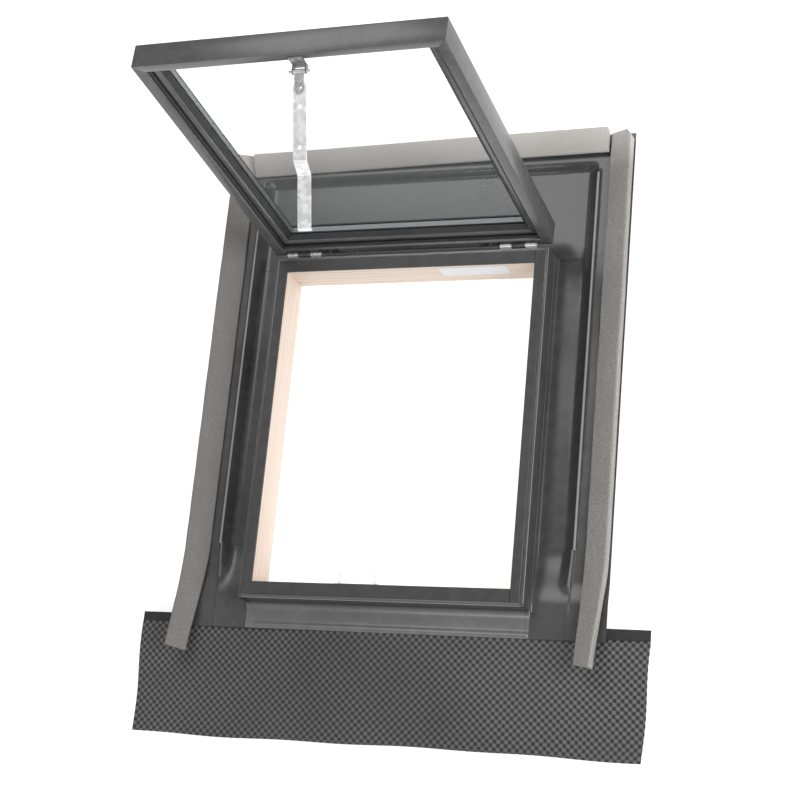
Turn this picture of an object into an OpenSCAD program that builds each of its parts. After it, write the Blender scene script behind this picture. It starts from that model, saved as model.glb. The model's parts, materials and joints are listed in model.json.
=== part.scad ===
// Top-hung roof skylight: a pine lining box with a seal on its rim, a metal flashing with
// foam strips and an embossed apron, and a glazed metal sash on two hinges with a stay bar.
// X runs across, Y up the slope and Z out of the roof. The origin is the middle of the
// opening, on the plane of the lining's lower edges.

/* [Lining box] */
// Clear width of the opening
opening_w = 410; // [380:1:600]
// Clear length of the opening, up the slope
opening_l = 510; // [440:1:800]
// Thickness of the side boards
stile_t = 20; // [16:0.5:30]
// Thickness of the head and sill boards
rail_t = 24.5; // [20:0.5:35]
// Depth of the boards
board_h = 63; // [55:1:90]

/* [Flashing] */
// Thickness of the sheet metal
sheet_t = 0.8; // [0.5:0.1:1.2]
// Width of the hem folded over the rim
hem_w = 5; // [3:0.5:6]
// Height of the gutter floor above the lower edges
gutter_z = 9.5; // [6:0.5:14]
// Distance from the side upstand to the top of the rib
rib_reach = 60; // [52:1:80]
// Height of the rib's top above the lower edges
rib_z = 25; // [22:0.5:30]
// Steepness of the rib's inner side
rib_slope = 55; // [40:1:65]
// Height of the outer flange
flange_z = 20; // [16:0.5:21]
// Width of the flashing on each side of the box
side_reach = 115; // [112:1:160]
// Length of the flashing above the box
head_reach = 205; // [180:1:260]
// Length of the flashing below the box
sill_reach = 40; // [34:1:80]
// Height of the sill plate
sill_z = 24; // [22:0.5:26]
// Length of the lower corner sheets beside the box
corner_l = 95; // [80:1:120]
// Width of the joint between head and side sheets, beyond the box
joint_out = 10; // [6:1:16]

/* [Foam strips] */
// Width of a side strip
foam_side_w = 38; // [30:1:40]
// Width of the top strip
foam_top_w = 36; // [24:1:40]
// Thickness of a strip at its outer edge
foam_t = 20; // [14:1:26]
// Thickness of a strip at its inner edge
foam_nose = 4; // [3:0.5:6]
// How far the side strips run past the sill plate
foam_tail = 37; // [20:1:60]
// How far their lower ends spring up
foam_lift = 20; // [8:1:30]

/* [Apron] */
// Width of the apron
apron_w = 808; // [740:1:1000]
// Length of the apron
apron_l = 188; // [120:1:260]
// Thickness of the apron
apron_t = 1.5; // [1:0.1:3]
// Length of the plain hem along its upper edge
apron_hem_l = 15; // [10:1:18]

/* [Sash] */
// Overlap of the sash past the opening at each side
sash_side_lap = 25; // [23:0.5:30]
// Overlap at the hinge side
sash_head_lap = 36; // [33:0.5:40]
// Overlap at the free end
sash_foot_lap = 24.5; // [23:0.5:30]
// Depth of the sash profile
sash_t = 38; // [37:1:50]
// Gap between the rim and the closed sash
sash_gap = 3.4; // [3.2:0.1:5]
// Thickness of each pane
pane_t = 4; // [3:0.5:5]
// Angle of the open sash
open_angle = 96; // [60:1:100]

/* [Hinges] */
// Distance of each hinge from the middle
hinge_x = 178; // [150:1:180]
// Length of the three knuckles
hinge_l = 58; // [48:1:70]
// Radius of a knuckle
knuckle_r = 4.2; // [3.5:0.1:4.3]
// Radius of the hinge pins and the stay pin
pin_r = 2; // [1.5:0.1:2.4]

/* [Stay and catch] */
// Distance of the stay from the middle
stay_x = 15; // [13:1:60]
// Length of the stay from its pin
stay_l = 216; // [190:1:260]
// Width of the stay bar
stay_w = 19; // [16:0.5:22]
// Slope of the open stay below level
stay_droop = 16.4; // [0:0.1:30]
// Distance of the catch from the middle, to the other side
catch_x = 35; // [34:1:60]
// Distance between the two catch pegs
peg_gap = 58; // [40:1:58]

/* [Hidden] */
$fn = 48;

pine = [0.93, 0.85, 0.76];
anthracite = [0.33, 0.34, 0.36];
black_rubber = [0.07, 0.07, 0.08];
zinc = [0.74, 0.75, 0.76];
foam_grey = [0.58, 0.56, 0.54];
clear_glass = [0.8, 0.9, 0.9, 0.35];

fit = 0.05;          // radial clearance of pins and screws in their holes
slack = 0.4;         // clearance between pieces that turn past each other
far = 2000;          // longer than the whole window

half_w = opening_w / 2;
half_l = opening_l / 2;
box_x = half_w + stile_t;
box_y = half_l + rail_t;
lip_z = board_h + sheet_t;

// ---- plain geometry --------------------------------------------------------------------

function arc(c, r, from, to, steps = 6) =
  [for (i = [0 : steps]) let (a = from + (to - from) * i / steps) c + r * [cos(a), sin(a)]];
function unit(v) = v / norm(v);
function left_of(a, b) = let (d = unit(b - a)) [-d.y, d.x];
// The bisecting offset of point i of an open path, for a sheet one unit thick.
function miter(p, i) =
  let (last = len(p) - 1,
       before = i > 0 ? left_of(p[i - 1], p[i]) : left_of(p[0], p[1]),
       after = i < last ? left_of(p[i], p[i + 1]) : before,
       sum = before + after)
  2 * sum / (sum * sum);
// The closed outline of a bent sheet whose one face follows a path.
function bent_sheet(p, t) =
  concat(p, [for (i = [len(p) - 1 : -1 : 0]) p[i] - t * miter(p, i)]);
function mix(a, b, k) = a + (b - a) * k;

// A solid through rings of equal length, with its first and last ring closed flat.
module loft(rings) {
  n = len(rings[0]);
  points = [for (ring = rings) each ring];
  sides = [for (s = [0 : len(rings) - 2]) for (i = [0 : n - 1])
    let (j = (i + 1) % n, a = s * n, b = a + n) each [[a + i, a + j, b + j], [a + i, b + j, b + i]]];
  first = [for (i = [n - 1 : -1 : 0]) i];
  last = [for (i = [0 : n - 1]) (len(rings) - 1) * n + i];
  polyhedron(points, concat(sides, [first, last]));
}

// A bar whose section lies in the plane of X and Z, running along Y from y0 to y1.
module along_y(section, y0, y1) {
  translate([0, y1, 0]) rotate([90, 0, 0]) linear_extrude(y1 - y0) polygon(section);
}

// A bar along X with its section's first axis along Y and its second along Z.
module along_x(section, x0, x1) {
  translate([x0, 0, 0]) rotate([90, 0, 90]) linear_extrude(x1 - x0) polygon(section);
}

module mirrored_x(side) {
  if (side < 0) mirror([1, 0, 0]) children();
  else children();
}

// One side of a rectangular ring: a bar along X whose section runs inwards along Y,
// with both ends cut at 45 degrees.
module mitred_bar(section, length, width) {
  intersection() {
    along_x(section, 0, length);
    translate([0, 0, -far / 2]) linear_extrude(far)
      polygon([[0, 0], [length, 0], [length - width, width], [width, width]]);
  }
}

// The four sides of a ring, from its outer corners low = [x, y] to high = [x, y].
module ring_side(side, section, low, high, width) {
  size = high - low;
  if (side == "foot") translate([low.x, low.y, 0]) mitred_bar(section, size.x, width);
  if (side == "head")
    translate([high.x, high.y, 0]) rotate(180) mitred_bar(section, size.x, width);
  if (side == "left")
    translate([low.x, high.y, 0]) rotate(-90) mitred_bar(section, size.y, width);
  if (side == "right")
    translate([high.x, low.y, 0]) rotate(90) mitred_bar(section, size.y, width);
}

module ring(section, low, high, width) {
  for (side = ["foot", "head", "left", "right"]) ring_side(side, section, low, high, width);
}

module plain_ring(low, high, width, z0, z1) {
  difference() {
    translate([low.x, low.y, z0]) cube([high.x - low.x, high.y - low.y, z1 - z0]);
    translate([low.x + width, low.y + width, z0 - 1])
      cube([high.x - low.x - 2 * width, high.y - low.y - 2 * width, z1 - z0 + 2]);
  }
}

// A countersunk screw along -Z, with its flat head at the origin.
module screw(r, head_r, length) {
  cylinder(h = head_r - r, r1 = r, r2 = head_r, center = false);
  translate([0, 0, -length + head_r - r]) cylinder(h = length - head_r + r, r = r);
}
module screw_down(r, head_r, length) translate([0, 0, r - head_r]) screw(r, head_r, length);

// ---- lining box ------------------------------------------------------------------------

screw_r = 2;
screw_head_r = 4;
screw_l = 50;
screw_zs = [15, 48];

module frame_screw_places() {
  for (sx = [-1, 1]) for (sy = [-1, 1]) for (z = screw_zs)
    translate([sx * box_x, sy * (half_l + rail_t / 2), z]) rotate([0, sx * 90, 0]) children();
}

module frame_stile(side) {
  color(pine) difference() {
    translate([side > 0 ? half_w : -box_x, -box_y, 0]) cube([stile_t, 2 * box_y, board_h]);
    frame_screw_places() screw_down(screw_r + fit, screw_head_r + fit, screw_l);
  }
}
module frame_stile_left() frame_stile(-1);
module frame_stile_right() frame_stile(1);

module frame_rail(side) {
  color(pine) difference() {
    translate([-half_w, side > 0 ? half_l : -box_y, 0]) cube([opening_w, rail_t, board_h]);
    frame_screw_places() screw_down(screw_r + fit, screw_head_r + fit, screw_l + fit);
  }
}
module frame_head() frame_rail(1);
module frame_sill() frame_rail(-1);

module frame_screws() color(zinc) frame_screw_places() screw_down(screw_r, screw_head_r, screw_l);

// ---- rim seal, plate and catch -----------------------------------------------------------

seal_h = 2.4;
seal_side_w = stile_t - hem_w - 0.1;
seal_end_w = rail_t - hem_w - 0.1;
leaf_l = 80;         // length of a hinge leaf
leaf_x = hinge_x - 10;
leaf_t = 1.5;

module seal_side(side) {
  section = [[half_w, 0], [half_w + seal_side_w, 0], [half_w + seal_side_w, 1.6],
             [half_w + seal_side_w - 1, seal_h], [half_w + 1, seal_h], [half_w, 1.4]];
  mirrored_x(side) translate([0, 0, board_h])
    along_y(section, -half_l - seal_end_w, half_l + seal_end_w);
}

module frame_seal() {
  color(black_rubber) {
    for (side = [-1, 1]) seal_side(side);
    for (side = [-1, 1])
      translate([-half_w, side > 0 ? half_l : -half_l - seal_end_w, board_h])
        cube([opening_w, seal_end_w, seal_h]);
  }
}

plate_w = 110;
plate_h = 32;
plate_t = 0.8;
module blank_plate()
  color([0.86, 0.86, 0.85])
    translate([half_w - 157, half_l - plate_t, board_h - 38]) cube([plate_w, plate_t, plate_h]);

catch_t = 1.5;
catch_w = peg_gap + 14;
peg_r = 2.5;
peg_l = 17;
peg_z = lip_z - 8;

module catch_screw_places() {
  for (sx = [-1, 1])
    translate([-catch_x + sx * peg_gap / 4, -half_l + catch_t, peg_z - 9]) rotate([-90, 0, 0])
      children();
}
module catch_plate()
  color(zinc) difference() {
    translate([-catch_x - catch_w / 2, -half_l, peg_z - 16]) cube([catch_w, catch_t, 21]);
    catch_screw_places() screw_down(1.5 + fit, 3 + fit, 3);
  }
module catch_screws() color(zinc) catch_screw_places() screw_down(1.5, 3, catch_t);
module catch_pegs()
  color([0.85, 0.85, 0.83]) for (sx = [-1, 1])
    translate([-catch_x + sx * peg_gap / 2, -half_l + catch_t, peg_z]) rotate([-90, 0, 0]) {
      cylinder(h = peg_l, r = peg_r);
      translate([0, 0, peg_l]) cylinder(h = 1.2, r1 = peg_r, r2 = peg_r - 1);
    }

// ---- flashing ---------------------------------------------------------------------------

corner_r = sheet_t + 0.05;  // bend at the rim, sharp on the board's edge
floor_r = 4;         // bend at the foot of an upstand
foot_r = 10;         // soft bend at the foot of the rib
ridge_r = 2.5;       // bend on top of the rib
outer_r = 2;         // bend outside the rib
outer_slope = 70;
rib_x = box_x + rib_reach;
side_x = box_x + side_reach;
head_y = box_y + head_reach;
sill_y = -box_y - sill_reach;
corner_y = -box_y + corner_l;

// The upstand's face from the hem down to the floor, going outwards from a face at u.
function upstand(u, floor_z, r) = concat(
  [[u - hem_w, lip_z]],
  arc([u + sheet_t - corner_r, lip_z - corner_r], corner_r, 90, 0, 4),
  arc([u + sheet_t + r, floor_z + r], r, 180, 270));

// The rib and the flange, from the gutter floor outwards.
foot_run = (rib_z - gutter_z - (foot_r + ridge_r) * (1 - cos(rib_slope))) / sin(rib_slope);
outer_run = (rib_z - flange_z - (ridge_r + outer_r) * (1 - cos(outer_slope))) / sin(outer_slope);
foot_x = rib_x - (foot_r + ridge_r) * sin(rib_slope) - foot_run * cos(rib_slope);
outer_x = rib_x + (ridge_r + outer_r) * sin(outer_slope) + outer_run * cos(outer_slope);
function rib() = concat(
  arc([foot_x, gutter_z + foot_r], foot_r, 270, 270 + rib_slope),
  arc([rib_x, rib_z - ridge_r], ridge_r, 90 + rib_slope, 90 - outer_slope, 8),
  arc([outer_x, flange_z + outer_r], outer_r, 270 - outer_slope, 270),
  [[side_x, flange_z]]);

function side_path() = concat(upstand(box_x, gutter_z, floor_r), rib());
function floor_path() =
  concat(arc([box_x + sheet_t + floor_r, gutter_z + floor_r], floor_r, 180, 270), rib());

rib_top_y = head_y - 66;   // where the rib ends
flat_y = head_y - 45;      // where the gutter has climbed to the flange
head_rise = 11;            // length of that climb
pad_x = rib_x - 5;         // inner edge of the flat pad past the rib's end

function head_climb(y0) = [[y0, gutter_z], [flat_y - head_rise, gutter_z], [flat_y, flange_z],
                           [head_y, flange_z]];

module flashing_side(side) {
  outer = concat([[box_x + joint_out, gutter_z]], rib());
  wall_x = pad_x + sheet_t;
  end_wall = concat([for (q = rib()) if (q.x < wall_x) q],
                    [[wall_x, gutter_z - sheet_t], [foot_x, gutter_z - sheet_t]]);
  color(anthracite) mirrored_x(side) {
    along_y(bent_sheet(side_path(), sheet_t), corner_y, box_y);
    along_y(bent_sheet(outer, sheet_t), box_y, rib_top_y);
    along_y(end_wall, rib_top_y - sheet_t, rib_top_y);
    along_x(bent_sheet(head_climb(rib_top_y), sheet_t), box_x + joint_out, pad_x);
    translate([pad_x, rib_top_y - sheet_t, gutter_z - sheet_t])
      cube([sheet_t, flat_y - rib_top_y + sheet_t, flange_z - gutter_z + sheet_t]);
    translate([pad_x, rib_top_y - sheet_t, flange_z - sheet_t])
      cube([side_x - pad_x, head_y - rib_top_y + sheet_t, sheet_t]);
  }
}
module flashing_side_left() flashing_side(-1);
module flashing_side_right() flashing_side(1);

// The open path of a sheet's lower face, made longer at both ends.
function lower_face(p) = let (last = len(p) - 1)
  concat([p[0] - sheet_t * miter(p, 0) - [1, 0]], [for (i = [0 : last]) p[i] - sheet_t * miter(p, i)],
         [p[last] - sheet_t * miter(p, last) + [1, 0]]);
function filled(p, depth) = concat(p, [[p[len(p) - 1].x, -depth], [p[0].x, -depth]]);

// The lower corner sheet: the gutter climbs to the sill plate and the rib runs out in it.
climb_top_y = 12 - box_y;
rib_end_y = climb_top_y + 6;
module flashing_corner(side) {
  climb = [[sill_y, sill_z], [climb_top_y, sill_z], [corner_y, gutter_z - sheet_t / 2]];
  rim = concat([for (q = upstand(box_x, gutter_z, floor_r)) if (q.y > sill_z) q],
               [[box_x + sheet_t, gutter_z - sheet_t]]);
  color(anthracite) mirrored_x(side) {
    along_y(bent_sheet(rim, sheet_t), -box_y, corner_y);
    difference() {
      union() {
        along_y(filled(floor_path(), 30), rib_end_y, corner_y);
        along_x(filled(climb, 30), box_x + sheet_t, side_x);
      }
      along_y(filled(lower_face(floor_path()), 40), rib_end_y + sheet_t, corner_y + 1);
      along_x(filled(lower_face(climb), 40), box_x, side_x + 1);
    }
  }
}
module flashing_corner_left() flashing_corner(-1);
module flashing_corner_right() flashing_corner(1);

sill_r = 15;
fold_l = 9;          // width of the hem folded back on the sill plate

// Clears the hem's ends, where the side sheets' hems lie.
module hem_corners(y) {
  for (side = [-1, 1])
    translate([side > 0 ? box_x - hem_w : -far, min(y, y + sign(y) * -far), board_h - 1])
      cube([far - box_x + hem_w, far, far]);
}

module flashing_sill() {
  wall_path = upstand(box_y, sill_z, sill_r);
  path = concat(wall_path, [[-sill_y, sill_z]]);
  under = [for (i = [len(path) - 1 : -1 : 0]) path[i] - sheet_t * miter(path, i)];
  fold = [[-sill_y - fold_l, sill_z], [-sill_y - fold_l, sill_z + sheet_t],
          [-sill_y, sill_z + sheet_t]];
  color(anthracite) difference() {
    mirror([0, 1, 0])
      along_x(concat(wall_path, fold, under), -box_x - sheet_t, box_x + sheet_t);
    hem_corners(-box_y);
  }
}

module flashing_head() {
  color(anthracite) {
    difference() {
      along_x(bent_sheet(concat(upstand(box_y, gutter_z, floor_r), head_climb(box_y + 20)), sheet_t),
              -box_x, box_x);
      hem_corners(box_y);
    }
    for (side = [-1, 1]) mirrored_x(side)
      along_x(bent_sheet(head_climb(box_y), sheet_t), box_x, box_x + joint_out);
  }
}

// ---- foam strips and apron ---------------------------------------------------------------

foam_gap = 0.3;
foam_z = flange_z + foam_gap;
foam_back = 2;       // from the head sheet's upper edge to the top strip
foam_in = side_x - foam_side_w;
foam_end = sill_y - foam_tail;
foam_bend_y = corner_y;
function foam_section(w) = [[0, 0], [w, 0], [w, foam_t - 2], [w - 2, foam_t], [4, foam_nose + 1],
                            [0, foam_nose]];
function spring_up(y) =
  y > foam_bend_y ? 0 : foam_lift * pow((foam_bend_y - y) / (foam_bend_y - foam_end), 1.6);

module foam_side(side) {
  ys = concat([foam_end], [for (k = [1 : 6]) mix(foam_end, foam_bend_y, k / 6)], [head_y - 1]);
  section = foam_section(foam_side_w);
  color(foam_grey) mirrored_x(side)
    loft([for (i = [len(ys) - 1 : -1 : 0])
      [for (q = section) [foam_in + q.x, ys[i], foam_z + q.y + spring_up(ys[i])]]]);
}
module foam_left() foam_side(-1);
module foam_right() foam_side(1);
module foam_top()
  color(foam_grey)
    translate([0, head_y - foam_top_w - foam_back, foam_z])
      along_x(foam_section(foam_top_w), -foam_in + foam_gap, foam_in - foam_gap);

apron_z = sill_z - sheet_t - apron_t;
apron_y = -box_y - 20;
module apron()
  color([0.2, 0.2, 0.21])
    translate([-apron_w / 2, apron_y - apron_l, apron_z])
      cube([apron_w, apron_l - apron_hem_l, apron_t]);
module apron_hem()
  color([0.12, 0.12, 0.13])
    translate([-apron_w / 2, apron_y - apron_hem_l, apron_z])
      cube([apron_w, apron_hem_l, apron_t]);

// ---- hinges ------------------------------------------------------------------------------

hinge_y = box_y + 5.5;
hinge_z = lip_z;
sash_z = lip_z + sash_gap;
end_knuckle = 18;

// Puts what is drawn closed where it stands when the sash is open.
module opened()
  translate([0, hinge_y, hinge_z]) rotate([-open_angle, 0, 0])
    translate([0, -hinge_y, -hinge_z]) children();

module knuckle_bar(x0, x1, r) translate([x0, hinge_y, hinge_z]) rotate([0, 90, 0])
  cylinder(h = x1 - x0, r = r);

// Knuckle stretches of one hinge, from its middle outwards: two ends or the centre.
function end_stretches() = [[-hinge_l / 2, -hinge_l / 2 + end_knuckle],
                            [hinge_l / 2 - end_knuckle, hinge_l / 2]];
function mid_stretch() = [[-hinge_l / 2 + end_knuckle + slack, hinge_l / 2 - end_knuckle - slack]];

reach = knuckle_r + 1.5;
leaf_screw_r = 1.8;
module knuckles(side, stretches)
  for (s = stretches) knuckle_bar(side * hinge_x + s[0], side * hinge_x + s[1], knuckle_r);
module pin_holes() for (side = [-1, 1])
  knuckle_bar(side * hinge_x - hinge_l, side * hinge_x + hinge_l, pin_r + fit);

// The fixed leaf lies upright on the upstand, below its knuckles.
leaf_y = box_y + sheet_t;
leaf_h = 18;
leaf_top = hinge_z - reach;
module frame_leaf_screws(r, length)
  for (side = [-1, 1]) for (x = [leaf_x - 34, leaf_x + 34])
    translate([side * x, leaf_y, leaf_top - leaf_h / 2]) rotate([-90, 0, 0])
      cylinder(h = length, r = r);
module hinge_frame_leaves()
  color(zinc) difference() {
    for (side = [-1, 1]) {
      translate([side * leaf_x - leaf_l / 2, leaf_y, leaf_top - leaf_h])
        cube([leaf_l, leaf_t, leaf_h]);
      for (s = end_stretches())
        translate([side * hinge_x + s[0], leaf_y, leaf_top - 1])
          cube([s[1] - s[0], leaf_t, reach + 1]);
      knuckles(side, end_stretches());
    }
    pin_holes();
    translate([0, -1, 0]) frame_leaf_screws(leaf_screw_r + fit, leaf_t + 2);
  }
module hinge_frame_screws() color(zinc) frame_leaf_screws(leaf_screw_r, leaf_t);

// The moving leaf lies under the sash's flange: a strip behind the knuckles, and a foot
// with its screw beside them.
strip_y = hinge_y - 9.5;
foot_w = 29;
module sash_leaf_screws(r, length)
  for (side = [-1, 1])
    translate([side * (hinge_x - hinge_l / 2 - foot_w / 2 - 1), strip_y + 6.5, sash_z - leaf_t])
      cylinder(h = length, r = r);
module hinge_sash_leaves()
  color(zinc) opened() difference() {
    for (side = [-1, 1]) {
      mirrored_x(side) translate([hinge_x - hinge_l / 2 - foot_w - 2, strip_y, sash_z - leaf_t]) {
        cube([hinge_l + foot_w + 2, hinge_y - reach - strip_y, leaf_t]);
        cube([foot_w, 12.5, leaf_t]);
      }
      for (s = mid_stretch())
        translate([side * hinge_x + s[0], hinge_y - reach - 1, sash_z - leaf_t])
          cube([s[1] - s[0], reach + 1, leaf_t]);
      knuckles(side, mid_stretch());
    }
    pin_holes();
    translate([0, 0, -1]) sash_leaf_screws(leaf_screw_r + fit, leaf_t + 2);
  }
module hinge_sash_screws() color(zinc) opened() sash_leaf_screws(leaf_screw_r, leaf_t);
module hinge_pins()
  color(zinc) for (side = [-1, 1])
    knuckle_bar(side * hinge_x - hinge_l / 2 - 1, side * hinge_x + hinge_l / 2 + 1, pin_r);

// ---- sash --------------------------------------------------------------------------------

sash_low = [-half_w - sash_side_lap, -half_l - sash_foot_lap];
sash_high = [half_w + sash_side_lap, half_l + sash_head_lap];
rail_w = 30;         // width of the profile, without its gasket
glass_in = 24;       // the panes' edge, from the sash's outer face
pocket_in = 22;
ledge_h = 16.5;      // height of the ledge that carries the glass
wall = 2.2;
unit_z = 18;         // lower face of the glazing unit
unit_t = sash_t - 4 - unit_z;
flange_in = 16;
groove_in = 18.5;
groove_h = 10.5;

rail_section = concat(
  [[0, 0], [0, sash_t - 3]],
  arc([3, sash_t - 3], 3, 180, 90, 5),
  [[33, sash_t], [34, sash_t - 1], [34, sash_t - 2], [pocket_in, sash_t - 2],
   [pocket_in, ledge_h], [rail_w, ledge_h], [rail_w, groove_h + 1], [rail_w - 0.5, groove_h - 0.3],
   [rail_w - 2, groove_h - 1.1], [25, groove_h - 1.6], [21, groove_h - 1.3],
   [groove_in, groove_h], [flange_in, groove_h], [flange_in, 1], [flange_in - 1, 0]]);
chamber_section = [
  [wall, wall], [wall, sash_t - 2 - wall], [pocket_in - wall, sash_t - 2 - wall],
  [pocket_in - wall, groove_h + wall], [flange_in - wall, groove_h + wall],
  [flange_in - wall, wall]];

module sash_bar(side) {
  color(anthracite) opened() translate([0, 0, sash_z]) difference() {
    ring_side(side, rail_section, sash_low, sash_high, rail_w);
    ring_side(side, chamber_section, sash_low, sash_high, rail_w);
    for (sx = [-1, 1]) translate([0, 0, -sash_z])
      knuckle_bar(sx * hinge_x - hinge_l / 2 - 2, sx * hinge_x + hinge_l / 2 + 2, knuckle_r + 0.7);
  }
}
module sash_rail_head() sash_bar("head");
module sash_rail_foot() sash_bar("foot");
module sash_stile_left() sash_bar("left");
module sash_stile_right() sash_bar("right");

key_l = 45;
key_t = 8;
module corner_keys()
  color(zinc) opened() translate([0, 0, sash_z + groove_h + wall + 3])
    for (sx = [0, 1]) for (sy = [0, 1])
      translate([sx ? sash_high.x : sash_low.x, sy ? sash_high.y : sash_low.y, 0])
        mirror([sx, 0, 0]) mirror([0, sy, 0]) translate([wall + fit, wall + fit, 0]) {
          cube([key_l, key_t, 16]);
          cube([key_t, key_l, 16]);
        }

bulb_r = 1.9;
module sash_seal() {
  c = [flange_in + 0.4 + bulb_r, 5.5];
  section = concat([[flange_in + 0.4, groove_h]], arc(c, bulb_r, 180, 400, 8),
    [[groove_in - 0.4, 7.3], [groove_in - 0.4, groove_h]]);
  color(black_rubber) opened() translate([0, 0, sash_z])
    ring(section, sash_low, sash_high, c.x + bulb_r);
}

gasket_w = 36.2;
module glazing_gasket_inner() {
  section = [[glass_in, ledge_h], [glass_in, unit_z], [gasket_w, unit_z],
             [gasket_w, unit_z - 1.2], [rail_w + 1.2, groove_h + 1.2], [rail_w, groove_h + 0.8],
             [rail_w, ledge_h]];
  color(black_rubber) opened() translate([0, 0, sash_z])
    ring(section, sash_low, sash_high, gasket_w);
}
module glazing_gasket_outer() {
  low = sash_low + [glass_in, glass_in];
  high = sash_high - [glass_in, glass_in];
  color(black_rubber) opened() translate([0, 0, sash_z])
    plain_ring(low, high, 9, unit_z + unit_t, sash_t - 2);
}

module pane(z) {
  low = sash_low + [glass_in, glass_in];
  high = sash_high - [glass_in, glass_in];
  color(clear_glass) opened() translate([low.x, low.y, sash_z + z])
    cube([high.x - low.x, high.y - low.y, pane_t]);
}
module pane_inner() pane(unit_z);
module pane_outer() pane(unit_z + unit_t - pane_t);

spacer_in = 4;
spacer_w = 8;
module glazing_spacer()
  color([0.2, 0.2, 0.21]) opened() translate([0, 0, sash_z])
    plain_ring(sash_low + (glass_in + spacer_in) * [1, 1], sash_high - (glass_in + spacer_in) * [1, 1],
               spacer_w, unit_z + pane_t, unit_z + unit_t - pane_t);

block_l = 60;
module setting_blocks()
  color([0.15, 0.15, 0.16]) opened() translate([0, 0, sash_z + unit_z])
    for (sx = [-1, 1]) for (y = [sash_low.y + pocket_in, sash_high.y - glass_in])
      translate([sx * half_w * 0.6 - block_l / 2, y, 0])
        cube([block_l, glass_in - pocket_in, unit_t]);

// ---- stay --------------------------------------------------------------------------------

pin_in = 30;         // the stay pin, from the sash's free end
pin_drop = 10;       // and below its underside
pin_l = 31;
ear_w = 8;
ear_gap = 9;         // from the stay's middle to the ear's inner face
bracket_t = 1.5;
bracket_in = 8;
pin_y = sash_low.y + pin_in;
pin_z = sash_z - pin_drop;

bracket_screw_xs = [-5, 5];
bracket_screw_y = bracket_in + 5;
module bracket_screw_places()
  for (x = bracket_screw_xs)
    translate([stay_x + x, sash_low.y + bracket_screw_y, sash_z - bracket_t]) rotate([180, 0, 0]) children();

module stay_bracket() {
  outer = ear_gap + bracket_t;
  color([0.5, 0.5, 0.51]) opened() difference() {
    union() {
      translate([stay_x - outer, sash_low.y + bracket_in, sash_z - bracket_t])
        cube([2 * outer, pin_in + ear_w / 2 - bracket_in, bracket_t]);
      for (x = [-outer, ear_gap]) translate([stay_x + x, 0, 0]) {
        translate([0, pin_y - ear_w / 2, pin_z]) cube([bracket_t, ear_w, pin_drop]);
        translate([0, pin_y, pin_z]) rotate([0, 90, 0]) cylinder(h = bracket_t, r = ear_w / 2);
      }
    }
    translate([stay_x - pin_l, pin_y, pin_z]) rotate([0, 90, 0])
      cylinder(h = 2 * pin_l, r = pin_r + fit);
    bracket_screw_places() screw_down(1.3 + fit, 2.4 + fit, 4);
  }
}
module bracket_screws()
  color(zinc) opened() bracket_screw_places() screw_down(1.3, 2.4, bracket_t);
module stay_pin()
  color(zinc) opened() translate([stay_x - pin_l / 2, pin_y, pin_z]) rotate([0, 90, 0])
    cylinder(h = pin_l, r = pin_r);

// The stay is drawn along -Y from its pin, and then set at its pin on the open sash.
module stay_hung() {
  dy = pin_y - hinge_y;
  dz = pin_z - hinge_z;
  translate([stay_x, hinge_y + dy * cos(open_angle) + dz * sin(open_angle),
             hinge_z - dy * sin(open_angle) + dz * cos(open_angle)])
    rotate([stay_droop, 0, 0]) children();
}

barrel_r = 3.5;
leaf_tip_r = 7;
stay_leaf_l = 31.6;
stay_leaf_t = 2;
rivet_in = 22;
bar_t = 3;
hole_r = 3;
holes_in = [47.8, 104];
notch_in = 39.7;
crank_in = 122;
crank_run = 18;
crank_h = 15.6;
foot_h = 6;
bar_bend_r = 4;

module stay_leaf()
  color(zinc) stay_hung() difference() {
    union() {
      translate([-ear_gap + slack, 0, 0]) rotate([0, 90, 0])
        cylinder(h = 2 * (ear_gap - slack), r = barrel_r);
      translate([-leaf_tip_r, -stay_leaf_l + leaf_tip_r, 0])
        cube([2 * leaf_tip_r, stay_leaf_l - leaf_tip_r, stay_leaf_t]);
      translate([0, -stay_leaf_l + leaf_tip_r, 0]) cylinder(h = stay_leaf_t, r = leaf_tip_r);
    }
    translate([-far / 2, 0, 0]) rotate([0, 90, 0]) cylinder(h = far, r = pin_r + fit);
    translate([0, -rivet_in, -1]) cylinder(h = stay_leaf_t + 2, r = screw_r + fit);
  }

module stay_rivet()
  color(zinc) stay_hung() translate([0, -rivet_in, 0]) {
    translate([0, 0, -bar_t]) cylinder(h = bar_t + stay_leaf_t, r = screw_r);
    translate([0, 0, stay_leaf_t]) cylinder(h = 1.3, r1 = 4, r2 = 2.6);
    translate([0, 0, -bar_t - 1]) cylinder(h = 1, r1 = 2.6, r2 = 3.6);
  }

// The bar's upper face, as distance from the pin and height.
crank_a = atan2(crank_h, crank_run);
crank_set = bar_bend_r * tan(crank_a / 2);
crank_end = crank_in + crank_run;
stay_path = concat(
  [[rivet_in - stay_w / 2, 0]],
  arc([crank_in - crank_set, -bar_bend_r], bar_bend_r, 90, 90 - crank_a),
  arc([crank_end + crank_set, -crank_h + bar_bend_r], bar_bend_r, 270 - crank_a, 270),
  arc([stay_l - bar_bend_r, -crank_h - bar_bend_r], bar_bend_r, 90, 0),
  [[stay_l, -crank_h - foot_h]]);

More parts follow.
